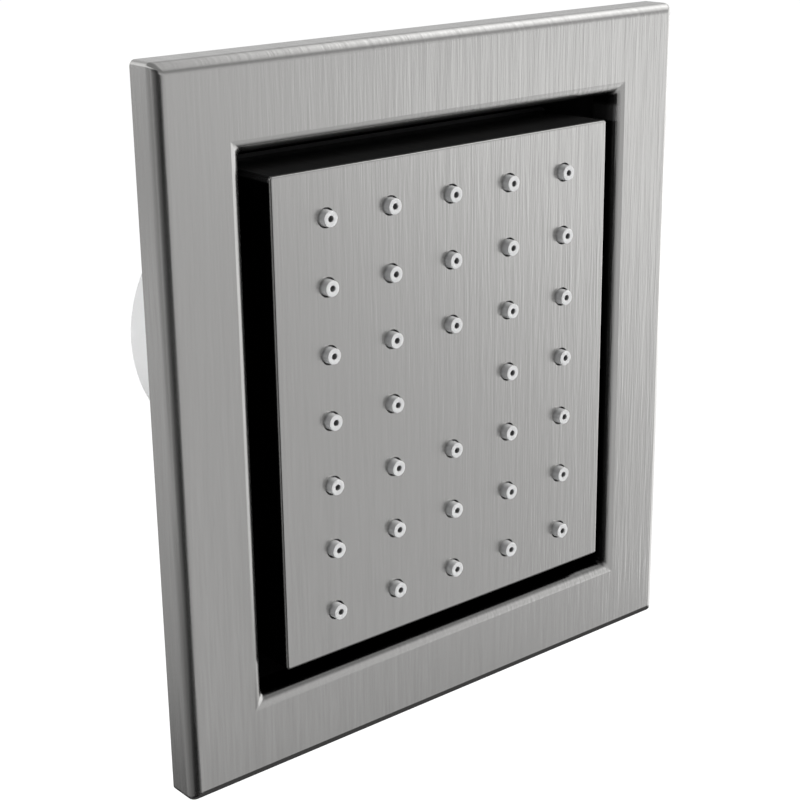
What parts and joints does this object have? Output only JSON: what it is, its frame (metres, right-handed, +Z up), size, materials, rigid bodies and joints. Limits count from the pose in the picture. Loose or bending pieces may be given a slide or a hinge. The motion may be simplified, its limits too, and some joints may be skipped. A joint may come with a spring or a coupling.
{
  "type": "shower body jet",
  "caption": "Recessed shower body jet: a rectangular spray head with soft nozzles tilts and pans in the opening of a brushed steel trim frame, on a round housing with a threaded water inlet.",
  "frame": {"origin": "centre of the trim frame on the finished wall's plane", "axes": "+Z up, +X to the right seen from the front, +Y into the wall; the spray face looks to -Y"},
  "size_m": [0.1366, 0.0981, 0.1484],
  "materials": {
    "brushed_stainless": "fine vertical brushing",
    "soft_grey": "soft matt silicone",
    "black_plastic": "fine matt texture",
    "grey_plastic": "smooth matt",
    "white_plastic": "smooth satin",
    "natural_plastic": "smooth matt",
    "black_rubber": "smooth matt",
    "black_foam": "fine closed cells",
    "plain_steel": "turned bright",
    "brass": "turned, satin",
    "polished_chrome": "polished"
  },
  "bodies": {
    "wall_side": {"frame": "brushed_stainless", "frame_gasket": "black_foam", "frame_screws": "plain_steel", "splash_tray": "black_plastic", "tray_screws": "plain_steel", "housing_seal": "black_rubber", "wall_housing": "white_plastic", "inlet_fitting": "brass", "inlet_washer": "black_rubber", "inlet_nut": "brass", "filter_screen": "plain_steel", "flow_regulator": "natural_plastic", "ball_stem": "polished_chrome", "stem_seal": "black_rubber", "tilt_pins": "plain_steel"},
    "gimbal": {"gimbal_ring": "grey_plastic", "pan_pins": "plain_steel"},
    "spray_head": {"face_plate": "brushed_stainless", "nozzle_mat": "soft_grey", "spray_body": "black_plastic", "head_back": "black_plastic", "head_screws": "plain_steel", "ball_seat": "natural_plastic", "ball_seal": "black_rubber", "socket_nut": "brass"}
  },
  "joints": [
    {"name": "tilt", "type": "hinge", "parent": "wall_side", "child": "gimbal", "pos_m": [0, 0.02, 0], "axis": [1, 0, 0], "range_deg": [-8, 8]},
    {"name": "pan", "type": "hinge", "parent": "gimbal", "child": "spray_head", "pos_m": [0, 0.02, 0], "axis": [0, 0, 1], "range_deg": [-8, 8]}
  ]
}
